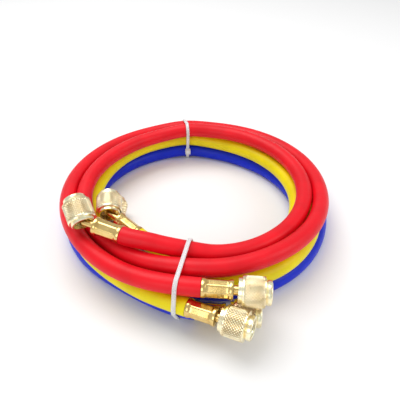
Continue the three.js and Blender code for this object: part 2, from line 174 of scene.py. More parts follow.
# Nuts, along each nut from the back of its collar
COLLAR_LENGTH = 2
KNURL_START = 2.9
WEB_BACK = 5
WEB_FRONT = 7.4
HEAD_BACK = 7.75
HEAD_FRONT = 9.55
GASKET_BACK = 9.8
GASKET_FRONT = 11.4
DEPRESSOR_BACK = 5.25
DEPRESSOR_FRONT = 11.85
FRONT_LENGTH = 3.7  # from the knurl to the mouth
FRONT_CHAMFER = 0.5

# Nuts, across
CUP_RADIUS = 6.1
COLLAR_RADIUS = 7.1
NECK_RADIUS = 6.4  # behind the front ring
FRONT_RADIUS = 6.9
WEB_STEM_GAP = 0.35
HEAD_RADIUS = 4.5
HEAD_CORNER = 0.3
HEAD_BORE_RADIUS = 1.5
HEAD_BORE_MOUTH_RADIUS = 1.7
GASKET_HOLE_RADIUS = 1.8
GASKET_SEAM_RADIUS = 3.2  # where the outline of its section starts and ends
GASKET_CORNER = 0.4
GASKET_SIDES = 48
DEPRESSOR_RADIUS = 1.2
DEPRESSOR_PIN_RADIUS = 0.8
DEPRESSOR_CORNER = 0.2
DEPRESSOR_SIDES = 32
THREAD_RADIUS = 5.2
THREAD_DEPTH = 0.32
THREAD_PITCH = 1.27
THREAD_STEPS = 6  # rings of points to each turn of the thread
NUT_CORNER = 0.35
KNURL_SAMPLES = 6  # points to each diamond
KNURL_SLOPE = 1.9  # how steeply a groove's sides rise to the diamonds' flat tops
ON_THREAD = -1

# Looks
HOSE_ROUGHNESS = (0.36, 0.48)
HOSE_SPECULAR = 0.27
HOSE_PATCH_SHADE = 0.86
TURNED_ROUGHNESS = 0.2
KNURLED_ROUGHNESS = 0.24
LATHE_LINES = 90
TARNISH_TINT = (0.8, 0.72, 0.55)
# Knurled brass: a painted highlight on the diamonds' points and painted shade in the grooves, both
# multiplied onto the brass
PEAK_HIGHLIGHT_TINT = (1.28, 1.58, 2.8)
GROOVE_SHADE_TINT = (0.5, 0.36, 0.2)
MIX_FACTOR, MIX_A, MIX_B, MIX_RESULT = 0, 6, 7, 2  # sockets of a colour mix node

# Stage. The camera is in millimetres from the coil's axis, and the rest in metres.
CAMERA_PLACE = (0, -250.8, 218.2)
FLOOR_REACH = 2.5
WORLD_STRENGTH = 0.6
# Each light's name, place, target, size, and power as a share of the key light's
LIGHTS = (
    ("key", (-0.25, 0.25, 0.9), (0.0, 0.0, 0.0), 0.7, 1.0),
    ("side", (0.8, -0.3, 0.6), (0.0, -0.02, 0.0), 0.5, 0.35),
    ("front", (-0.4, -0.9, 0.5), (0.0, -0.05, 0.02), 0.5, 0.3),
)


class HoseSetSizes(bpy.types.PropertyGroup):
    """Sizes of the set's pieces"""

    hose: bpy.props.FloatProperty(
        name="Hose", description="Outside diameter of a hose", default=0.011, unit="LENGTH"
    )
    nut: bpy.props.FloatProperty(
        name="Nut", description="Diameter across a nut's knurl", default=0.0172, unit="LENGTH"
    )
    nut_length: bpy.props.FloatProperty(
        name="Nut Length", description="Length of a nut", default=0.0182, unit="LENGTH"
    )
    knurl_pitch: bpy.props.FloatProperty(
        name="Knurl Pitch", description="Width of one diamond of a nut's knurl",
        default=0.0017, unit="LENGTH",
    )
    knurl_depth: bpy.props.FloatProperty(
        name="Knurl Depth", description="Depth of the knurl's grooves",
        default=0.0005, unit="LENGTH",
    )
    flats: bpy.props.IntProperty(
        name="Crimp Flats", description="Flats pressed into a ferrule", default=8
    )
    tie_width: bpy.props.FloatProperty(
        name="Tie Width", description="Width of a cable tie's strap",
        default=0.0025, unit="LENGTH",
    )
    tie_thickness: bpy.props.FloatProperty(
        name="Tie Thickness", description="Thickness of a cable tie's strap",
        default=0.0011, unit="LENGTH",
    )


class HoseSetColours(bpy.types.PropertyGroup):
    """Colours of the set's pieces"""

    red: bpy.props.FloatVectorProperty(
        name="Red Hose", description="Rubber of the red hose",
        subtype="COLOR", default=(0.8, 0.004, 0.014),
    )
    yellow: bpy.props.FloatVectorProperty(
        name="Yellow Hose", description="Rubber of the yellow hose",
        subtype="COLOR", default=(0.88, 0.74, 0.001),
    )
    blue: bpy.props.FloatVectorProperty(
        name="Blue Hose", description="Rubber of the blue hose",
        subtype="COLOR", default=(0.001, 0.02, 0.62),
    )
    brass: bpy.props.FloatVectorProperty(
        name="Brass", description="Metal of the fittings",
        subtype="COLOR", default=(0.84, 0.62, 0.25),
    )
    nylon: bpy.props.FloatVectorProperty(
        name="Nylon", description="Plastic of the cable ties",
        subtype="COLOR", default=(0.95, 0.96, 0.97),
    )
    gasket: bpy.props.FloatVectorProperty(
        name="Gasket", description="Rubber of the gaskets",
        subtype="COLOR", default=(0.012, 0.012, 0.013),
    )


class HoseSetStage(bpy.types.PropertyGroup):
    """Camera, floor and lights"""

    lens: bpy.props.FloatProperty(
        name="Lens", description="Focal length", default=39.3, unit="CAMERA"
    )
    pitch: bpy.props.FloatProperty(
        name="Pitch", description="How far the camera looks down",
        default=math.radians(39.18), subtype="ANGLE",
    )
    floor: bpy.props.FloatVectorProperty(
        name="Floor", description="Colour of the floor",
        subtype="COLOR", default=(0.9, 0.9, 0.9),
    )
    key: bpy.props.FloatProperty(
        name="Key", description="Power of the main softbox", default=6.0, unit="POWER"
    )


def sizes():
    return bpy.context.scene.hose_set_sizes


def colours():
    return bpy.context.scene.hose_set_colours


# Route


def direction(heading, rise):
    """The way that runs along a heading from +X, and climbs by rise, both in degrees."""
    level = math.cos(math.radians(rise))
    return Vector(
        (
            level * math.cos(math.radians(heading)),
            level * math.sin(math.radians(heading)),
            math.sin(math.radians(rise)),
        )
    )


def station_point(angle, lane, level):
    """The point of a station, before any lift over a tie."""
    r = LANE_ZERO_RADIUS + PITCH * lane
    z = HOSE_DIAMETER / 2 + PITCH * level
    return Vector((r * math.cos(math.radians(angle)), r * math.sin(math.radians(angle)), z))


def hose_end(end):
    """Where a hose stops at one of its ends, and which way it points there."""
    return station_point(*end["at"]), direction(end["heading"], end["rise"])


def lead_station(end):
    """The point a lead behind a hose's end, as a station."""
    at, out = hose_end(end)
    x, y, z = at - out * LEAD
    angle = end["at"][0]
    angle += (math.degrees(math.atan2(y, x)) - angle + 180) % 360 - 180
    return (angle, (math.hypot(x, y) - LANE_ZERO_RADIUS) / PITCH, (z - HOSE_DIAMETER / 2) / PITCH)


def hermite(t):
    """Weights at t of a cubic's start, the slope there, its end, and the slope there."""
    return 2 * t**3 - 3 * t**2 + 1, t**3 - 2 * t**2 + t, 3 * t**2 - 2 * t**3, t**3 - t**2


def station_value(stations, key, angle):
    """The lane (key 1) or level (key 2) at an angle, on a smooth line through the stations."""
    i = 0
    while i < len(stations) - 2 and angle > stations[i + 1][0]:
        i += 1
    last = len(stations) - 1

    def slope(a, b):
        return (stations[b][key] - stations[a][key]) / (stations[b][0] - stations[a][0])

    span = stations[i + 1][0] - stations[i][0]
    start = slope(max(i - 1, 0), i + 1) * span
    end = slope(i, min(i + 2, last)) * span
    at_start, slope_start, at_end, slope_end = hermite((angle - stations[i][0]) / span)
    return (
        at_start * stations[i][key]
        + slope_start * start
        + at_end * stations[i + 1][key]
        + slope_end * end
    )


def tie_lift(angle):
    """How far a hose rises at an angle, to pass over the ties' lower runs."""
    lift = 0
    for tie in (BACK_TIE, FRONT_TIE):
        off = (angle - tie + 180) % 360 - 180
        lift += TIE_LIFT * math.exp(-((off / TIE_LIFT_SPREAD) ** 2))
    return lift


def coil_point(stations, angle):
    lane, level = (station_value(stations, key, angle) for key in (1, 2))
    return station_point(angle, lane, level) + Vector((0, 0, tie_lift(angle)))


def bend(start, start_way, end, end_way, steps):
    """Points of a smooth bend between two places, its last place left out."""
    reach = (end - start).length
    points = []
    for i in range(steps):
        at_start, slope_start, at_end, slope_end = hermite(i / steps)
        points.append(
            start * at_start
            + start_way * (reach * slope_start)
            + end * at_end
            + end_way * (reach * slope_end)
        )
    return points


def hose_route(hose):
    """Fine centreline of a hose, in millimetres from the coil's axis."""
    first = lead_station(hose["angled"])
    last = lead_station(hose["straight"])
    stations = [first, *hose["stations"], last]
    room = SECTION_STEP / 3
    angles = []
    angle = BACK_TIE
    while angle < last[0] - room:
        if angle > first[0] + room:
            angles.append(angle)
        angle += SECTION_STEP
    start, start_out = hose_end(hose["angled"])
    end, end_out = hose_end(hose["straight"])

    def way(at):
        ahead = coil_point(stations, at + WAY_STEP)
        return (ahead - coil_point(stations, at - WAY_STEP)).normalized()

    fine = SECTION_SAMPLES
    points = bend(start, -start_out, coil_point(stations, angles[0]), way(angles[0]), 2 * fine)
    for one in angles[:-1]:
        points += [coil_point(stations, one + SECTION_STEP * i / fine) for i in range(fine)]
    points += bend(coil_point(stations, angles[-1]), way(angles[-1]), end, end_out, 2 * fine)
    return [*points, end]


def placed(point):
    """A point in millimetres from the coil's axis, as metres in the part's frame."""
    return (Vector(point) + COIL_AXIS) * MM


# Meshes


def new_object(name, vertices, faces, uvs):
    """A mesh object, smooth but for its sharp edges, with one UV pair for each corner of a face."""
    mesh = bpy.data.meshes.new(name)
    mesh.from_pydata([tuple(v) for v in vertices], [], faces)
    layer = mesh.uv_layers.new(name="UVMap")
    for corner, uv in zip(layer.data, uvs):
        corner.uv = uv
    mesh.polygons.foreach_set("use_smooth", [True] * len(mesh.polygons))
    mesh.set_sharp_from_angle(angle=SHARP_EDGE)
    mesh.update()
    obj = bpy.data.objects.new(name, mesh)
    bpy.context.scene.collection.objects.link(obj)
    return obj


def grid_object(name, rows, closed=False, caps=False, lengths=None):
    """A skin over rings of points. Closed joins the last ring to the first, caps fills the two
    end rings, and lengths gives each ring's V in the UV map."""
    around = len(rows[0])
    vertices = [v for row in rows for v in row]
    faces = []
    uvs = []
    count = len(rows)
    spans = count if closed else count - 1
    if lengths is None:
        lengths = [i / spans for i in range(spans + 1)]
    for i in range(spans):
        j = (i + 1) % count
        for k in range(around):
            m = (k + 1) % around
            faces.append((i * around + k, i * around + m, j * around + m, j * around + k))
            u0, u1 = k / around, (k + 1) / around
            v0, v1 = lengths[i], lengths[i + 1]
            uvs += [(u0, v0), (u1, v0), (u1, v1), (u0, v1)]
    if caps:
        faces.append(tuple(range(around))[::-1])
        faces.append(tuple((count - 1) * around + k for k in range(around)))
        uvs += [(0.5, 0.5)] * (2 * around)
    return new_object(name, vertices, faces, uvs)


def swept(name, points, radii, sides):
    """A closed round tube along points in metres, with its own radius at each point."""
    rows = []
    lengths = [0.0]
    for i, point in enumerate(points):
        before = points[max(i - 1, 0)]
        after = points[min(i + 1, len(points) - 1)]
        way = (after - before).normalized()
        side = way.cross(Vector((0, 0, 1))).normalized()
        up = side.cross(way)
        rows.append(
            [
                point
                + side * (radii[i] * math.cos(2 * math.pi * k / sides))
                - up * (radii[i] * math.sin(2 * math.pi * k / sides))
                for k in range(sides)
            ]
        )
        if i:
            lengths.append(lengths[-1] + (point - before).length)
    return grid_object(name, rows, caps=True, lengths=lengths)


def ring_rows(profile, around, radius_at=None):
    """Rings of points about Z from (radius, height) pairs in millimetres. A function of the
    ring's index, its radius and height, and the angle can change the radius at each point."""
    rows = []
    for index, (r, z) in enumerate(profile):
        row = []
        for k in range(around):
            a = 2 * math.pi * k / around
            reach = r if radius_at is None else radius_at(index, r, z, a)
            row.append(Vector((reach * math.cos(a), reach * math.sin(a), z)))
        rows.append(row)
    return rows


def put(rows, matrix):
    """Rings in millimetres in a fitting's own frame, as metres in the part's frame."""
    return [[placed(matrix @ point) for point in row] for row in rows]


def turned(name, profile, around, matrix, closed=False, radius_at=None):
    """A turned piece, solid from end to end or, when closed, a ring of the profile's section."""
    rows = put(ring_rows(profile, around, radius_at), matrix)
    return grid_object(name, rows, closed=closed, caps=not closed)


def arc_profile(points, corner):
    """A profile with rounded corners, apart from its first and last point. Points are (radius,
    height, share of the corner's size)."""
    out = []
    for i, (r, z, share) in enumerate(points):
        here = Vector((r, z))
        size = corner * share
        if size == 0 or i in (0, len(points) - 1):
            out.append((r, z))
            continue
        before = Vector(points[i - 1][:2]) - here
        after = Vector(points[i + 1][:2]) - here
        size = min(size, before.length * ARC_SHARE, after.length * ARC_SHARE)
        a = here + before.normalized() * size
        b = here + after.normalized() * size
        for s in range(ARC_STEPS + 1):
            t = s / ARC_STEPS
            p = a * (1 - t) ** 2 + here * (2 * t * (1 - t)) + b * t**2
            out.append((p.x, p.y))
    return out


# Frames of the fittings


def end_frame(hose, kind):
    """Z runs out of the hose's end. An elbow turns in this frame's X-Z plane, towards +X."""
    end = hose[kind]
    at, out = hose_end(end)
    if kind == "straight":
        side = out.cross(Vector((0, 0, 1))).normalized()
    else:
        side = direction(end["nut_heading"], end["nut_rise"])
        side = (side - out * side.dot(out)).normalized()
    matrix = Matrix((side, out.cross(side), out)).transposed().to_4x4()
    matrix.translation = at
    return matrix


def nut_frame(hose, kind):
    """Z runs out of the nut's mouth from the back of its collar."""
    base = end_frame(hose, kind)
    if kind == "straight":
        return base @ Matrix.Translation((0, 0, FERRULE_END + STRAIGHT_NECK))
    lean = Matrix.Rotation(math.radians(ELBOW_ANGLE), 4, "Y")
    corner = Matrix.Translation((0, 0, FERRULE_END + ELBOW_REACH))
    return base @ corner @ lean @ Matrix.Translation((0, 0, -CUP_LAP))


# Materials


class Shader:
    """A material's node tree with short ways to add to it."""

    def __init__(self, name):
        self.material = bpy.data.materials.new(name)
        self.material.use_nodes = True
        self.tree = self.material.node_tree
        self.surface = self.tree.nodes["Principled BSDF"]
        self.place = self.add("ShaderNodeTexCoord")

    def add(self, kind, **values):
        node = self.tree.nodes.new(kind)
        for key, value in values.items():
            setattr(node, key, value)
        return node

    def link(self, source, target):
        self.tree.links.new(source, target)

    def noise(self, scale, detail, roughness=0.5):
        node = self.add("ShaderNodeTexNoise")
        node.inputs["Scale"].default_value = scale
        node.inputs["Detail"].default_value = detail
        node.inputs["Roughness"].default_value = roughness
        self.link(self.place.outputs["Object"], node.inputs["Vector"])
        return node.outputs["Fac"]

    def span(self, source, low, high, out_low, out_high):
        """Stretches the source's values from low and high to the two values out."""
        node = self.add("ShaderNodeMapRange")
        limits = {"From Min": low, "From Max": high, "To Min": out_low, "To Max": out_high}
        for key, value in limits.items():
            node.inputs[key].default_value = value
        self.link(source, node.inputs["Value"])
        return node.outputs["Result"]

    def blend(self, amount, first, second):
        """The first colour where the amount is 0, and the second where it is 1."""
        node = self.add("ShaderNodeMix", data_type="RGBA")
        self.link(amount, node.inputs[MIX_FACTOR])
        node.inputs[MIX_A].default_value = (*first, 1)
        node.inputs[MIX_B].default_value = (*second, 1)
        return node.outputs[MIX_RESULT]

    def bump(self, height, distance, strength, under=None):
        node = self.add("ShaderNodeBump")
        node.inputs["Distance"].default_value = distance
        node.inputs["Strength"].default_value = strength
        self.link(height, node.inputs["Height"])
        if under is not None:
            self.link(under, node.inputs["Normal"])
        return node.outputs["Normal"]


def shade(colour, factor):
    """A lighter or darker colour."""
    return tuple(min(1.0, c * factor) for c in colour)


def hose_rubber(name, colour, dark):
    """Smooth extruded rubber: a soft sheen, faint darker patches, slight waves and fine pits."""
    s = Shader(name)
    surface = s.surface
    patches = s.span(s.noise(60, 3), 0.35, 0.65, 0.0, 1.0)
    s.link(s.blend(patches, colour, dark), surface.inputs["Base Color"])
    s.link(s.span(s.noise(900, 4, 0.6), 0.3, 0.7, *HOSE_ROUGHNESS), surface.inputs["Roughness"])
    surface.inputs["Specular IOR Level"].default_value = HOSE_SPECULAR
    pits = s.bump(s.noise(2600, 3), 0.00005, 0.35)
    waves = s.bump(s.noise(140, 2), 0.0006, 0.25, under=pits)
    s.link(waves, surface.inputs["Normal"])
    return s.material


def brass_shader(name, colour, roughness):
    """Turned brass with fine lathe marks and a little tarnish."""
    s = Shader(name)
    surface = s.surface
    surface.inputs["Metallic"].default_value = 1.0
    amount = s.span(s.noise(220, 4, 0.6), 0.4, 0.75, 0.0, 1.0)
    tarnish = tuple(c * tint for c, tint in zip(colour, TARNISH_TINT))
    s.link(s.blend(amount, colour, tarnish), surface.inputs["Base Color"])
    rough = s.span(s.noise(1500, 3), 0.3, 0.7, roughness * 0.8, roughness * 1.3)
    s.link(rough, surface.inputs["Roughness"])
    wave = s.add("ShaderNodeTexNoise", noise_dimensions="1D")
    wave.inputs["Scale"].default_value = LATHE_LINES
    wave.inputs["Detail"].default_value = 2
    split = s.add("ShaderNodeSeparateXYZ")
    s.link(s.place.outputs["UV"], split.inputs[0])
    s.link(split.outputs["Y"], wave.inputs["W"])
    s.link(s.bump(wave.outputs["Fac"], 0.00004, 0.3), surface.inputs["Normal"])
    return s


def turned_brass(name, colour):
    return brass_shader(name, colour, TURNED_ROUGHNESS).material


def knurled_brass(name, colour):
    """Painted highlights on the diamonds' points over painted shade in the grooves, by the mesh's
    own attribute for a point's depth.
    """
    s = brass_shader(name, colour, KNURLED_ROUGHNESS)
    base = s.surface.inputs["Base Color"]
    plain = base.links[0].from_socket
    depth = s.add("ShaderNodeAttribute", attribute_name="groove")
    ramp = s.add("ShaderNodeValToRGB")
    # The first stop is a painted highlight on the points, the second painted shade in the grooves
    peak_highlight, groove = ramp.color_ramp.elements
    peak_highlight.position = 0.3
    peak_highlight.color = (*PEAK_HIGHLIGHT_TINT, 1)
    groove.position = 0.8
    groove.color = (*GROOVE_SHADE_TINT, 1)
    s.link(depth.outputs["Fac"], ramp.inputs["Fac"])
    mix = s.add("ShaderNodeMix", data_type="RGBA", blend_type="MULTIPLY", clamp_result=True)
    mix.inputs[MIX_FACTOR].default_value = 1.0
    s.link(plain, mix.inputs[MIX_A])
    s.link(ramp.outputs["Color"], mix.inputs[MIX_B])
    s.link(mix.outputs[MIX_RESULT], base)
    return s.material


def nylon_plastic(name, colour):
    s = Shader(name)
    surface = s.surface
    s.link(s.blend(s.noise(300, 2), colour, shade(colour, 0.93)), surface.inputs["Base Color"])
    s.link(s.span(s.noise(1200, 2), 0.3, 0.7, 0.25, 0.4), surface.inputs["Roughness"])
    surface.inputs["Transmission Weight"].default_value = 0.35
    surface.inputs["IOR"].default_value = 1.5
    surface.inputs["Subsurface Weight"].default_value = 0.25
    surface.inputs["Subsurface Radius"].default_value = (0.002, 0.002, 0.002)
    s.link(s.bump(s.noise(1800, 2), 0.00003, 0.3), surface.inputs["Normal"])
    return s.material


def gasket_rubber(name, colour):
    s = Shader(name)
    surface = s.surface
    s.link(s.blend(s.noise(500, 3), colour, shade(colour, 1.8)), surface.inputs["Base Color"])
    s.link(s.span(s.noise(900, 2), 0.3, 0.7, 0.5, 0.7), surface.inputs["Roughness"])
    s.link(s.bump(s.noise(2500, 3), 0.00005, 0.4), surface.inputs["Normal"])
    return s.material


def finish(obj, material, slot, body, *nodes):
    """Gives a piece its material and its body, and hides the nodes that it replaces. The slot is
    not used.
    """
    obj.data.materials.append(material)
    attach(obj, body)
    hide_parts(*nodes)


def shared(name, maker, *values):
    """The material of this name, made when it is first asked for."""
    return bpy.data.materials.get(name) or maker(name, *values)


def bright_brass():
    return shared("brass_turned", turned_brass, tuple(colours().brass))


# Pieces


def build_hose(hose):
    """A round hose. Its object keeps the centreline as "route" until HOSESET_OT_join deletes it."""
    name = hose["name"]
    radius = sizes().hose / 2
    points = [placed(p) for p in hose_route(hose)]
    start, start_out = hose_end(hose["angled"])
    end, end_out = hose_end(hose["straight"])
    points = [placed(start + start_out * HOSE_LIP), *points, placed(end + end_out * HOSE_LIP)]
    tip = radius - HOSE_LIP * MM
    radii = [tip, *[radius] * (len(points) - 2), tip]
    obj = swept(name + "_hose_rubber", points, radii, HOSE_SIDES)
    colour = tuple(getattr(colours(), name))
    dark = shade(colour, HOSE_PATCH_SHADE)
    material = shared(name + "_hose_skin", hose_rubber, colour, dark)
    finish(obj, material, name + "_rubber", "set", name + "_hose")
    obj["route"] = [c for p in points for c in p]


def build_ferrule(hose, kind):
    """A ferrule with flats crimped into its middle."""
    flats = sizes().flats
    hole = STEM_RADIUS[kind] + FERRULE_STEM_GAP
    start, end = FERRULE_START, FERRULE_END
    crimp = end - start - 2 * CRIMP_MARGIN
    floor = start + FERRULE_BORE_DEPTH
    rings = [(FERRULE_BORE_RADIUS, start, 0)]
    rings += [(r, start + z, share) for r, z, share in FERRULE_LIP]
    for i in range(CRIMP_STEPS + 1):
        rings.append((FERRULE_RIM_RADIUS, start + CRIMP_MARGIN + crimp * i / CRIMP_STEPS, 1))
    rings += [(r, end - z, share) for r, z, share in reversed(FERRULE_LIP)]
    rings += [(hole, end, 0), (hole, floor, 0), (FERRULE_BORE_RADIUS, floor, 0)]

    def reach(index, r, z, a):
        share = rings[index][2]
        step = 2 * math.pi / flats
        off = (a + step / 2) % step - step / 2
        crimped = min(CRIMP_REACH / math.cos(off), CRIMP_REACH * CRIMP_CORNER)
        return r * (1 - share) + crimped * share

    name = f"{hose['name']}_{kind}_ferrule"
    profile = [(r, z) for r, z, _ in rings]
    matrix = end_frame(hose, kind)
    obj = turned(name + "_brass", profile, FERRULE_SIDES, matrix, closed=True, radius_at=reach)
    finish(obj, bright_brass(), "brass", "set", name)


def head_profile(neck, back):
    """The head that holds a nut on its stem, and the open bore in front."""
    return arc_profile(
        [
            (neck, back, 0), (neck, HEAD_BACK, 0.5), (HEAD_RADIUS, HEAD_BACK, 1),
            (HEAD_RADIUS, HEAD_FRONT, 1), (HEAD_BORE_MOUTH_RADIUS, HEAD_FRONT, 1),
            (HEAD_BORE_RADIUS, WEB_BACK, 0),
        ],
        HEAD_CORNER,
    )


def build_straight_stem(hose):
    start = TAIL_LENGTH + SEAT_GAP - FERRULE_END - STRAIGHT_NECK
    profile = head_profile(STEM_RADIUS["straight"], start)
    obj = turned(hose["name"] + "_stem_brass", profile, STEM_SIDES, nut_frame(hose, "straight"))
    finish(obj, bright_brass(), "brass", "set", hose["name"] + "_straight_stem")


def build_elbow(hose):
    """A tube that bends once, then ends in a head inside the nut."""
    base = end_frame(hose, "angled")
    radius = STEM_RADIUS["angled"]
    corner = FERRULE_END + ELBOW_REACH
    lean = math.radians(ELBOW_ANGLE)
    tangent = ELBOW_BEND_RADIUS * math.tan(lean / 2)
    centres = [(0.0, TAIL_LENGTH + SEAT_GAP, 0.0), (0.0, FERRULE_END + 2, 0.0)]
    for i in range(ELBOW_STEPS + 1):
        a = lean * i / ELBOW_STEPS
        x = ELBOW_BEND_RADIUS * (1 - math.cos(a))
        centres.append((x, corner - tangent + ELBOW_BEND_RADIUS * math.sin(a), a))
    rows = []
    for x, z, a in centres:
        turn = Matrix.Translation((x, 0, z)) @ Matrix.Rotation(a, 4, "Y")
        rows.append([turn @ p for p in ring_rows([(radius, 0)], STEM_SIDES)[0]])
    tip = base.inverted() @ nut_frame(hose, "angled")
    for row in ring_rows(head_profile(radius, WEB_BACK - 0.1), STEM_SIDES):
        rows.append([tip @ p for p in row])
    obj = grid_object(hose["name"] + "_elbow_brass", put(rows, base), caps=True)
    finish(obj, bright_brass(), "brass", "set", hose["name"] + "_elbow")


def triangle_wave(x):
    """0 on whole numbers and 1 halfway between them."""
    return 1 - abs(2 * (x % 1) - 1)


def build_nut(hose, kind):
    """A swivel nut: collar, diamond knurl, front ring, threaded mouth, and a web with a cup
    behind it. Each ring of points has the knurl's depth there, or ON_THREAD."""
    hole = STEM_RADIUS[kind] + WEB_STEM_GAP
    knurl = sizes().nut / MM / 2
    length = sizes().nut_length / MM
    depth = sizes().knurl_depth / MM
    diamonds = round(2 * math.pi * knurl / (sizes().knurl_pitch / MM))
    pitch = 2 * math.pi * knurl / diamonds
    around = diamonds * KNURL_SAMPLES
    low, high = KNURL_START, length - FRONT_LENGTH
    outside = arc_profile(
        [
            (CUP_RADIUS, 0, 0), (CUP_RADIUS + 0.2, 0, 0), (COLLAR_RADIUS, 0, 1),
            (COLLAR_RADIUS, COLLAR_LENGTH, 0.6), (knurl - 0.3, COLLAR_LENGTH, 0.5), (knurl, low, 0),
        ],
        NUT_CORNER,
    )
    rings = [(r, z, 0) for r, z in outside[:-1]]
    steps = int((high - low) / (pitch / KNURL_SAMPLES))
    for i in range(steps + 1):
        fade = min(1, i / KNURL_SAMPLES, (steps - i) / KNURL_SAMPLES)
        rings.append((knurl, low + (high - low) * i / steps, fade * depth))
    thread_high = length - FRONT_CHAMFER
    front = arc_profile(
        [
            (knurl, high, 0), (NECK_RADIUS, length - 3, 0.8), (NECK_RADIUS, length - 2.6, 0.5),
            (FRONT_RADIUS, length - 2.5, 1), (FRONT_RADIUS, thread_high, 1),
            (FRONT_RADIUS - FRONT_CHAMFER, length, 1), (THREAD_RADIUS + FRONT_CHAMFER, length, 1),
            (THREAD_RADIUS, thread_high, 0),
        ],
        NUT_CORNER,
    )
    rings += [(r, z, 0) for r, z in front[1:]]
    thread_length = thread_high - GASKET_FRONT
    steps = THREAD_STEPS * int(thread_length / THREAD_PITCH)
    for i in range(1, steps + 1):
        rings.append((THREAD_RADIUS, thread_high - thread_length * i / steps, ON_THREAD))
    inside = arc_profile(
        [
            (THREAD_RADIUS, GASKET_FRONT, 0), (THREAD_RADIUS, WEB_FRONT, 1), (hole, WEB_FRONT, 0.6),
            (hole, WEB_BACK, 0.8), (CUP_RADIUS - 0.5, WEB_BACK, 1.6),
            (CUP_RADIUS, WEB_BACK - 1.2, 1), (CUP_RADIUS, 0, 0),
        ],
        NUT_CORNER,
    )
    rings += [(r, z, 0) for r, z in inside[1:-1]]

    def knurl_cut(z, a):
        turn = a / (2 * math.pi) * diamonds
        along = z / pitch
        ridge = min(triangle_wave(turn + along), triangle_wave(turn - along))
        return 1 - min(1, ridge * KNURL_SLOPE)

    def reach(index, r, z, a):
        mark = rings[index][2]
        if mark == ON_THREAD:
            return r + THREAD_DEPTH * triangle_wave(z / THREAD_PITCH - a / (2 * math.pi))
        return r - mark * knurl_cut(z, a)

    name = f"{hose['name']}_{kind}_nut"
    profile = [(r, z) for r, z, _ in rings]
    matrix = nut_frame(hose, kind)
    obj = turned(name + "_brass", profile, around, matrix, closed=True, radius_at=reach)
    # The knurl's depth at each point, which places the painted highlight on the points and the
    # painted shade in the grooves
    groove = obj.data.attributes.new("groove", "FLOAT", "POINT")
    for index, (_, z, mark) in enumerate(rings):
        if mark <= 0:
            continue
        for k in range(around):
            groove.data[index * around + k].value = knurl_cut(z, 2 * math.pi * k / around)
    material = shared("brass_knurled", knurled_brass, tuple(colours().brass))
    finish(obj, material, "brass", name + "_body", name)


def build_gasket(hose, kind):
    """A flat ring as wide as the head that it lies on."""
    profile = arc_profile(
        [
            (GASKET_SEAM_RADIUS, GASKET_BACK, 0), (HEAD_RADIUS, GASKET_BACK, 1),
            (HEAD_RADIUS, GASKET_FRONT, 1), (GASKET_HOLE_RADIUS, GASKET_FRONT, 1),
            (GASKET_HOLE_RADIUS, GASKET_BACK, 1), (GASKET_SEAM_RADIUS, GASKET_BACK, 0),
        ],
        GASKET_CORNER,
    )[:-1]
    name = f"{hose['name']}_{kind}_gasket"
    obj = turned(name + "_rubber", profile, GASKET_SIDES, nut_frame(hose, kind), closed=True)
    material = shared("gasket_rubber", gasket_rubber, tuple(colours().gasket))
    finish(obj, material, "black_rubber", "set", name)


def build_depressor(hose):
    """A pin on a thicker foot, which opens the valve that the nut is screwed onto."""
    foot, pin, top = DEPRESSOR_RADIUS, DEPRESSOR_PIN_RADIUS, DEPRESSOR_FRONT
    profile = arc_profile(
        [
            (0.3, DEPRESSOR_BACK, 0), (foot, DEPRESSOR_BACK, 1), (foot, top - 1, 0.5),
            (pin, top - 0.9, 0.5), (pin, top, 1), (0.2, top, 0),
        ],
        DEPRESSOR_CORNER,
    )
    name = hose["name"] + "_depressor"
    obj = turned(name + "_brass", profile, DEPRESSOR_SIDES, nut_frame(hose, "angled"))
    finish(obj, bright_brass(), "brass", "set", name)


def tie_plane(angle, skew):
    """A tie's middle on the ground, its direction outwards, and the direction it faces."""
    middle = direction(angle, 0) * TIE_MIDDLE
    return middle, direction(angle + skew, 0), direction(angle + skew + 90, 0)


def strands_at(plane, offset):
    """Every strand that crosses a plane this far in front of a tie's: distance outwards,
    height, and half width."""
    middle, outward, facing = plane
    strands = []
    for hose in HOSES:
        points = [p - middle for p in hose_route(hose)]
        for a, b in zip(points, points[1:]):
            before, after = a.dot(facing) - offset, b.dot(facing) - offset
            if before > 0 or after <= 0 or b.dot(outward) < -TIE_MIDDLE:
                continue
            at = a.lerp(b, before / (before - after))
            square = (after - before) / (b - a).length
            strands.append((at.dot(outward), at.z, HOSE_DIAMETER / 2 / square))
    return strands


def hull(points):
    """Convex outline of flat points, anticlockwise."""
    points = sorted(points)
    straight = 1e-6

    def half(ordered):
        chain = []
        for p in ordered:
            while len(chain) > 1 and (
                (chain[-1][0] - chain[-2][0]) * (p[1] - chain[-2][1])
                - (chain[-1][1] - chain[-2][1]) * (p[0] - chain[-2][0])
                <= straight
            ):
                chain.pop()
            chain.append(p)
        return chain[:-1]

    return half(points) + half(points[::-1])


def even_loop(points, step):
    """The same closed line with points an even step apart."""
    points = [Vector(p) for p in points]
    lengths = [(b - a).length for a, b in zip(points, points[1:] + points[:1])]
    total = sum(lengths)
    count = int(total / step)
    out = []
    i, done = 0, 0.0
    for k in range(count):
        target = total * k / count
        while done + lengths[i] < target:
            done += lengths[i]
            i += 1
        a, b = points[i], points[(i + 1) % len(points)]
        out.append(a.lerp(b, (target - done) / lengths[i]))
    return out


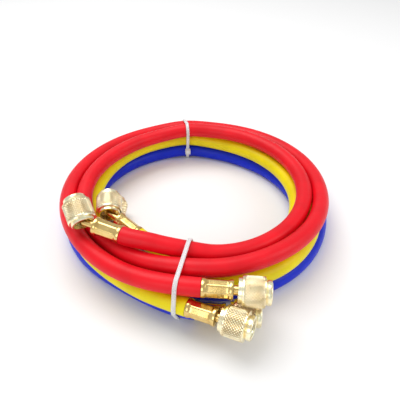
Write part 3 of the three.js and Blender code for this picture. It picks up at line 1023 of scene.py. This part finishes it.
def build_tie(which, angle, skew, head_height):
    """A strap pulled tight around the strands, with fine ridges on its outer face, and its head."""
    width = sizes().tie_width / MM
    thick = sizes().tie_thickness / MM
    plane = tie_plane(angle, skew)
    turns = [i * TIE_ROUND_STEP for i in range(math.ceil(2 * math.pi / TIE_ROUND_STEP))]
    cloud = []
    for offset in (-width / 2, 0, width / 2):
        for r, z, half in strands_at(plane, offset):
            reach = half + TIE_GAP
            cloud += [(r + reach * math.cos(a), z + reach * math.sin(a)) for a in turns]
    line = even_loop(hull(cloud), TIE_STEP)
    heading = Matrix.Rotation(math.radians(angle + skew), 4, "Z")
    upright = heading @ Matrix.Rotation(math.radians(90), 4, "X")
    turn = Matrix.Translation(plane[0]) @ upright
    rows = []
    count = len(line)
    for i, p in enumerate(line):
        way = (line[(i + 1) % count] - line[i - 1]).normalized()
        out = Vector((way.y, -way.x))
        in_groove = i % TIE_RIDGE_RINGS < TIE_RIDGE_RINGS / 2
        row = []
        for rise, across in TIE_SECTION:
            on_face = rise > 0.7 and abs(across) < 0.25
            q = p + out * (rise * thick - (TIE_RIDGE_DEPTH if in_groove and on_face else 0.0))
            row.append(turn @ Vector((q.x, q.y, across * width)))
        rows.append(row)
    skin = [[placed(v) for v in row] for row in rows]
    strap = grid_object(which + "_tie_strap", skin, closed=True)
    head = tie_head(which, line, turn, head_height)
    material = shared("tie_nylon", nylon_plastic, tuple(colours().nylon))
    for piece in (strap, head):
        finish(piece, material, "nylon", "set", which + "_tie")


def tie_head(which, line, turn, height):
    """The lock block. It stands out from the strap, on the side towards the coil's axis."""
    count = len(line)
    index = next(i for i, p in enumerate(line) if p.y > height >= line[(i + 1) % count].y)
    at = line[index]
    near = 3
    way = (line[(index + near) % count] - line[index - near]).normalized()
    out = Vector((way.y, -way.x))
    corner, steps = TIE_HEAD_CORNER, TIE_HEAD_CORNER_STEPS
    rows = []
    for rise, share in TIE_HEAD_LAYERS:
        row = []
        along = TIE_HEAD_HALF_ALONG * share - corner
        across = TIE_HEAD_HALF_ACROSS * share - corner
        for quarter in range(4):
            for s in range(steps + 1):
                a = math.radians(90 * quarter + 90 / steps * s)
                x = along * (1 if quarter in (0, 3) else -1) + corner * math.cos(a)
                y = across * (1 if quarter in (0, 1) else -1) + corner * math.sin(a)
                q = at + way * x + out * rise
                row.append(turn @ Vector((q.x, q.y, y)))
        rows.append(row)
    skin = [[placed(v) for v in row] for row in rows]
    return grid_object(which + "_tie_head", skin, caps=True)


class HOSESET_OT_camera(bpy.types.Operator):
    """Set the camera at the photograph's angle"""

    bl_idname = "hoseset.camera"
    bl_label = "Camera"

    def execute(self, context):
        stage = context.scene.hose_set_stage
        data = bpy.data.cameras.new("camera")
        data.lens = stage.lens
        data.sensor_width = 36
        data.clip_start = 0.01
        camera = bpy.data.objects.new("camera", data)
        camera.location = placed(CAMERA_PLACE)
        camera.rotation_euler = (math.pi / 2 - stage.pitch, 0, 0)
        context.scene.collection.objects.link(camera)
        context.scene.camera = camera
        return {"FINISHED"}


class HOSESET_OT_hoses(bpy.types.Operator):
    """Lay the coiled hoses along their routes"""

    bl_idname = "hoseset.hoses"
    bl_label = "Hoses"

    def execute(self, context):
        for hose in HOSES:
            build_hose(hose)
        return {"FINISHED"}


class HOSESET_OT_ferrules(bpy.types.Operator):
    """Crimp a ferrule on each end of each hose"""

    bl_idname = "hoseset.ferrules"
    bl_label = "Ferrules"

    def execute(self, context):
        for hose in HOSES:
            for kind in KINDS:
                build_ferrule(hose, kind)
        return {"FINISHED"}


class HOSESET_OT_stems(bpy.types.Operator):
    """Add the straight stems and the elbows"""

    bl_idname = "hoseset.stems"
    bl_label = "Stems and Elbows"

    def execute(self, context):
        for hose in HOSES:
            build_straight_stem(hose)
            build_elbow(hose)
        return {"FINISHED"}


class HOSESET_OT_nuts(bpy.types.Operator):
    """Put a knurled swivel nut on each stem and elbow"""

    bl_idname = "hoseset.nuts"
    bl_label = "Swivel Nuts"

    def execute(self, context):
        for hose in HOSES:
            for kind in KINDS:
                build_nut(hose, kind)
        return {"FINISHED"}


class HOSESET_OT_seals(bpy.types.Operator):
    """Add the gaskets and valve depressors inside the nuts"""

    bl_idname = "hoseset.seals"
    bl_label = "Gaskets and Depressors"

    def execute(self, context):
        for hose in HOSES:
            for kind in KINDS:
                build_gasket(hose, kind)
            build_depressor(hose)
        return {"FINISHED"}


class HOSESET_OT_ties(bpy.types.Operator):
    """Strap the coil with its two cable ties"""

    bl_idname = "hoseset.ties"
    bl_label = "Cable Ties"

    def execute(self, context):
        build_tie("back", BACK_TIE, 0, BACK_HEAD_HEIGHT)
        build_tie("front", FRONT_TIE, FRONT_TIE_SKEW, FRONT_HEAD_HEIGHT)
        return {"FINISHED"}


class HOSESET_OT_join(bpy.types.Operator):
    """Delete the centreline that each hose kept as "route" """

    bl_idname = "hoseset.join"
    bl_label = "Join Hoses to Fittings"

    def execute(self, context):
        for hose in HOSES:
            name = hose["name"]
            obj = bpy.data.objects[name + "_hose_rubber"]
            del obj["route"]
        return {"FINISHED"}


class HOSESET_OT_stage(bpy.types.Operator):
    """Add the pale floor and the studio lights"""

    bl_idname = "hoseset.stage"
    bl_label = "Floor and Lights"

    def execute(self, context):
        stage = context.scene.hose_set_stage
        half = FLOOR_REACH
        corners = [(-half, -half, 0), (half, -half, 0), (half, half, 0), (-half, half, 0)]
        floor = new_object("floor", corners, [(0, 1, 2, 3)], [(0, 0), (1, 0), (1, 1), (0, 1)])
        s = Shader("floor_paper")
        paper = tuple(stage.floor)
        s.link(s.blend(s.noise(3, 2), paper, shade(paper, 0.985)), s.surface.inputs["Base Color"])
        s.surface.inputs["Roughness"].default_value = 0.8
        s.surface.inputs["Specular IOR Level"].default_value = 0.2
        floor.data.materials.append(s.material)
        for name, place, target, size, share in LIGHTS:
            data = bpy.data.lights.new(name, "AREA")
            data.shape = "SQUARE"
            data.size = size
            data.energy = stage.key * share
            light = bpy.data.objects.new(name, data)
            light.location = place
            aim = Vector(target) - Vector(place)
            light.rotation_euler = aim.to_track_quat("-Z", "Y").to_euler()
            context.scene.collection.objects.link(light)
        world = bpy.data.worlds.new("studio")
        world.use_nodes = True
        background = world.node_tree.nodes["Background"]
        background.inputs["Color"].default_value = (1.0, 1.0, 1.0, 1)
        background.inputs["Strength"].default_value = WORLD_STRENGTH
        context.scene.world = world
        context.scene.view_settings.view_transform = "Standard"
        return {"FINISHED"}


class HOSESET_PT_panel(bpy.types.Panel):
    """Lists the steps that build the set"""

    bl_idname = "HOSESET_PT_panel"
    bl_label = "Charging Hose Set"
    bl_space_type = "VIEW_3D"
    bl_region_type = "UI"
    bl_category = "Hose Set"

    def draw(self, context):
        layout = self.layout
        for operator in OPERATORS:
            layout.operator(operator.bl_idname)
        for group in ("hose_set_sizes", "hose_set_colours", "hose_set_stage"):
            values = getattr(context.scene, group)
            for key in values.__annotations__:
                layout.prop(values, key)


OPERATORS = (
    HOSESET_OT_camera,
    HOSESET_OT_hoses,
    HOSESET_OT_ferrules,
    HOSESET_OT_stems,
    HOSESET_OT_nuts,
    HOSESET_OT_seals,
    HOSESET_OT_ties,
    HOSESET_OT_join,
    HOSESET_OT_stage,
)
CLASSES = (HoseSetSizes, HoseSetColours, HoseSetStage, *OPERATORS, HOSESET_PT_panel)


def register():
    for one in CLASSES:
        bpy.utils.register_class(one)
    bpy.types.Scene.hose_set_sizes = bpy.props.PointerProperty(type=HoseSetSizes)
    bpy.types.Scene.hose_set_colours = bpy.props.PointerProperty(type=HoseSetColours)
    bpy.types.Scene.hose_set_stage = bpy.props.PointerProperty(type=HoseSetStage)


def unregister():
    del bpy.types.Scene.hose_set_stage
    del bpy.types.Scene.hose_set_colours
    del bpy.types.Scene.hose_set_sizes
    for one in reversed(CLASSES):
        bpy.utils.unregister_class(one)


def main():
    register()
    bpy.ops.hoseset.camera()
    bpy.ops.hoseset.hoses()
    bpy.ops.hoseset.ferrules()
    bpy.ops.hoseset.stems()
    bpy.ops.hoseset.nuts()
    bpy.ops.hoseset.seals()
    bpy.ops.hoseset.ties()
    bpy.ops.hoseset.join()
    bpy.ops.hoseset.stage()


if __name__ == "__main__":
    main()
